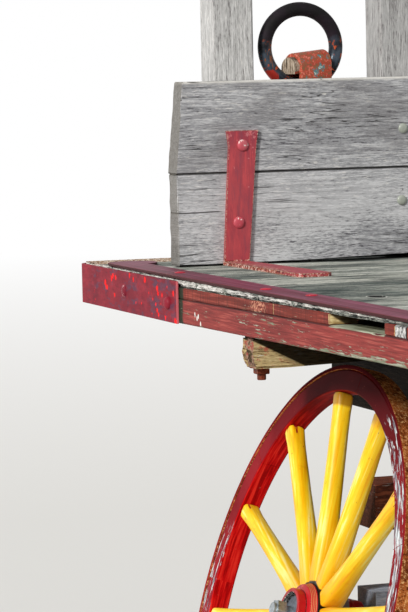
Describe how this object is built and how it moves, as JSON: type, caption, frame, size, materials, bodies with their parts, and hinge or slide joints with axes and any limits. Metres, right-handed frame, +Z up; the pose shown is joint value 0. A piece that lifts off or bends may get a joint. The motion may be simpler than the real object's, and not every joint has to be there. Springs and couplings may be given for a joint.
{
  "type": "wooden farm wagon",
  "caption": "Flat-bed wooden farm wagon with spoked iron-tyred wheels, boarded end racks on stakes, a turning front gear and a pole tongue resting on the ground.",
  "frame": {"origin": "on the ground under the middle of the wagon's overall length, tongue included, on its centre line", "axes": "+X forward, towards the tongue; +Y to the wagon's left; +Z up"},
  "size_m": [6.8192, 1.9509, 2.317],
  "materials": {
    "grey_boards": "weathered, unpainted",
    "filler_paint": "worn red-brown paint",
    "sill_red": "flaking red paint",
    "bare_timber": "weathered",
    "strip_iron": "dull maroon, rusted",
    "strap_red": "chipped red",
    "bearer_timber": "rough sawn",
    "iron": "dark, rusted",
    "stake_timber": "sun bleached",
    "ring_iron": "near black with rust",
    "rust_iron": "orange rust",
    "tyre_iron": "rusted",
    "felloe_red": "red paint, flaked",
    "spoke_yellow": "yellow paint",
    "hub_red": "red paint"
  },
  "bodies": {
    "bed": {"deck_planks": "grey_boards", "filler_strips": "filler_paint", "side_sills": "sill_red", "end_sills": "sill_red", "inner_sills": "bare_timber", "edge_strips": "strip_iron", "corner_straps": "strap_red", "cross_bearers": "bearer_timber", "main_beams": "sill_red", "rear_axle_tree": "bare_timber", "rear_axle_arms": "iron", "reach_pole": "bare_timber", "rear_hounds": "bare_timber", "rear_bolster": "bare_timber", "front_bolster": "bare_timber", "turntable_upper": "iron", "kingpin": "iron", "rack_planks": "grey_boards", "rack_stakes": "stake_timber", "rack_rails": "grey_boards", "rack_brackets": "strap_red", "tie_ring": "ring_iron", "ring_eye": "rust_iron"},
    "turning_gear": {"turntable_lower": "iron", "front_sand_board": "bare_timber", "front_axle_tree": "bare_timber", "front_axle_arms": "iron", "front_hounds": "bare_timber", "tongue_pin": "iron"},
    "tongue": {"tongue_pole": "bare_timber", "tongue_eye": "iron"},
    "wheel_rear_right": {"wheel_rear_right_tyre": "tyre_iron", "wheel_rear_right_felloes": "felloe_red", "wheel_rear_right_spokes": "spoke_yellow", "wheel_rear_right_hub": "hub_red"},
    "wheel_rear_left": {"wheel_rear_left_tyre": "tyre_iron", "wheel_rear_left_felloes": "felloe_red", "wheel_rear_left_spokes": "spoke_yellow", "wheel_rear_left_hub": "hub_red"},
    "wheel_front_right": {"wheel_front_right_tyre": "tyre_iron", "wheel_front_right_felloes": "felloe_red", "wheel_front_right_spokes": "spoke_yellow", "wheel_front_right_hub": "hub_red"},
    "wheel_front_left": {"wheel_front_left_tyre": "tyre_iron", "wheel_front_left_felloes": "felloe_red", "wheel_front_left_spokes": "spoke_yellow", "wheel_front_left_hub": "hub_red"}
  },
  "joints": [
    {"name": "steer", "type": "hinge", "parent": "bed", "child": "turning_gear", "pos_m": [0.02044, 0, 0.6], "axis": [0, 0, 1], "range_deg": [-32, 32]},
    {"name": "tongue_lift", "type": "hinge", "parent": "turning_gear", "child": "tongue", "pos_m": [0.42044, 0, 0.53], "axis": [0, -1, 0], "range_deg": [0, 35]},
    {"name": "wheel_rear_right_spin", "type": "hinge", "parent": "bed", "child": "wheel_rear_right", "pos_m": [-2.21156, -0.804, 0.49282], "axis": [0, 0.9563, -0.2924], "continuous": true},
    {"name": "wheel_rear_left_spin", "type": "hinge", "parent": "bed", "child": "wheel_rear_left", "pos_m": [-2.21156, 0.804, 0.49282], "axis": [0, 0.9563, 0.2924], "continuous": true},
    {"name": "wheel_front_right_spin", "type": "hinge", "parent": "turning_gear", "child": "wheel_front_right", "pos_m": [0.02044, -0.804, 0.457], "axis": [0, 0.9945, -0.1045], "continuous": true},
    {"name": "wheel_front_left_spin", "type": "hinge", "parent": "turning_gear", "child": "wheel_front_left", "pos_m": [0.02044, 0.804, 0.457], "axis": [0, 0.9945, 0.1045], "continuous": true}
  ]
}
